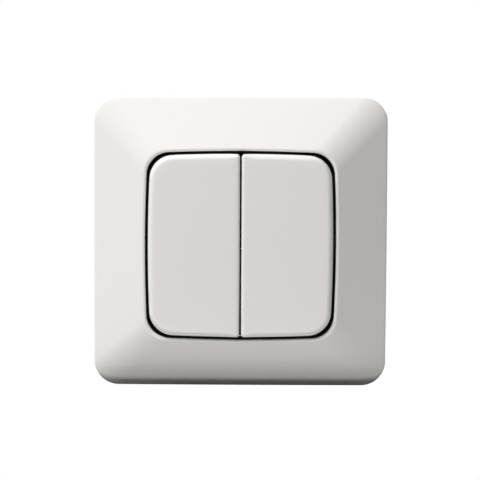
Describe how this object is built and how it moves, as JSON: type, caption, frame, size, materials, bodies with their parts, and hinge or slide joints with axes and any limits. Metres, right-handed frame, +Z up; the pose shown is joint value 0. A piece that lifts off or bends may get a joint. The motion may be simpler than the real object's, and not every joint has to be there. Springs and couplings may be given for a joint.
{
  "type": "push button light switch",
  "caption": "Square flush wall switch: domed white cover frame round tall push keys side by side, on a steel support ring with a moulded insert, claws and screw terminals behind.",
  "frame": {"origin": "centre of the box screw pattern on the wall plane, at the support ring's back face", "axes": "+Z up, +X to the right as the switch is looked at, +Y into the wall, so the keys face -Y"},
  "size_m": [0.081, 0.0347, 0.081],
  "materials": {
    "gloss_white": "glossy moulded",
    "carrier_white": "moulded",
    "grey_insert": "moulded",
    "zinc_steel": "zinc plated",
    "spring_steel": "drawn wire",
    "brass": "stamped",
    "silver": "polished"
  },
  "bodies": {
    "switch": {"cover_frame": "gloss_white", "mechanism_cover": "grey_insert", "support_ring": "zinc_steel", "switch_base": "grey_insert", "assembly_screws": "zinc_steel", "terminal_screws": "zinc_steel", "feed_bar": "brass", "left_load_strip": "brass", "right_load_strip": "brass", "left_fixed_contact": "silver", "right_fixed_contact": "silver", "upper_left_terminal": "brass", "upper_right_terminal": "brass", "lower_left_terminal": "brass", "lower_right_terminal": "brass", "left_return_spring": "spring_steel", "right_return_spring": "spring_steel"},
    "left_key_unit": {"left_key": "gloss_white", "left_yoke": "carrier_white", "left_plunger_spring": "spring_steel"},
    "left_plunger_pin": {"left_plunger": "carrier_white"},
    "left_rocker_unit": {"left_contact_rocker": "brass", "left_moving_contact": "silver"},
    "left_claw_plate": {"left_claw": "zinc_steel"},
    "left_claw_bolt": {"left_claw_screw": "zinc_steel"},
    "right_key_unit": {"right_key": "gloss_white", "right_yoke": "carrier_white", "right_plunger_spring": "spring_steel"},
    "right_plunger_pin": {"right_plunger": "carrier_white"},
    "right_rocker_unit": {"right_contact_rocker": "brass", "right_moving_contact": "silver"},
    "right_claw_plate": {"right_claw": "zinc_steel"},
    "right_claw_bolt": {"right_claw_screw": "zinc_steel"}
  },
  "joints": [
    {"name": "left_key_press", "type": "hinge", "parent": "switch", "child": "left_key_unit", "pos_m": [-0.01, -0.0055, 0], "axis": [1, 0, 0], "range_deg": [0, 4], "stiffness_Nm_per_rad": 0.3, "springref_deg": -14.32, "deforming": ["left_return_spring"]},
    {"name": "left_plunger_slide", "type": "slide", "parent": "left_key_unit", "child": "left_plunger_pin", "axis": [0, 0.9994, -0.0349], "range_m": [-0.0008, 0], "stiffness_N_per_m": 400, "springref_m": 0.004, "deforming": ["left_plunger_spring"]},
    {"name": "left_rocker_tilt", "type": "hinge", "parent": "switch", "child": "left_rocker_unit", "pos_m": [-0.01, 0.0123, 0], "axis": [1, 0, 0], "range_deg": [-16, 0]},
    {"name": "left_claw_swing", "type": "hinge", "parent": "switch", "child": "left_claw_plate", "pos_m": [-0.02045, 0.00075, 0], "axis": [0, 0, 1], "range_deg": [0, 15]},
    {"name": "left_claw_screw_tilt", "type": "hinge", "parent": "switch", "child": "left_claw_bolt", "pos_m": [-0.024, -0.0005, 0], "axis": [0, 0, 1], "range_deg": [0, 15]},
    {"name": "right_key_press", "type": "hinge", "parent": "switch", "child": "right_key_unit", "pos_m": [0.01, -0.0055, 0], "axis": [1, 0, 0], "range_deg": [0, 4], "stiffness_Nm_per_rad": 0.3, "springref_deg": -14.32, "deforming": ["right_return_spring"]},
    {"name": "right_plunger_slide", "type": "slide", "parent": "right_key_unit", "child": "right_plunger_pin", "axis": [0, 0.9994, -0.0349], "range_m": [-0.0008, 0], "stiffness_N_per_m": 400, "springref_m": 0.004, "deforming": ["right_plunger_spring"]},
    {"name": "right_rocker_tilt", "type": "hinge", "parent": "switch", "child": "right_rocker_unit", "pos_m": [0.01, 0.0123, 0], "axis": [1, 0, 0], "range_deg": [-16, 0]},
    {"name": "right_claw_swing", "type": "hinge", "parent": "switch", "child": "right_claw_plate", "pos_m": [0.02045, 0.00075, 0], "axis": [0, 0, -1], "range_deg": [0, 15]},
    {"name": "right_claw_screw_tilt", "type": "hinge", "parent": "switch", "child": "right_claw_bolt", "pos_m": [0.024, -0.0005, 0], "axis": [0, 0, -1], "range_deg": [0, 15]}
  ],
  "couplings": [
    {"joint": "left_rocker_tilt", "follows": "left_key_press", "ratio": -4},
    {"joint": "left_claw_screw_tilt", "follows": "left_claw_swing", "ratio": 0.93},
    {"joint": "right_rocker_tilt", "follows": "right_key_press", "ratio": -4},
    {"joint": "right_claw_screw_tilt", "follows": "right_claw_swing", "ratio": 0.93}
  ]
}
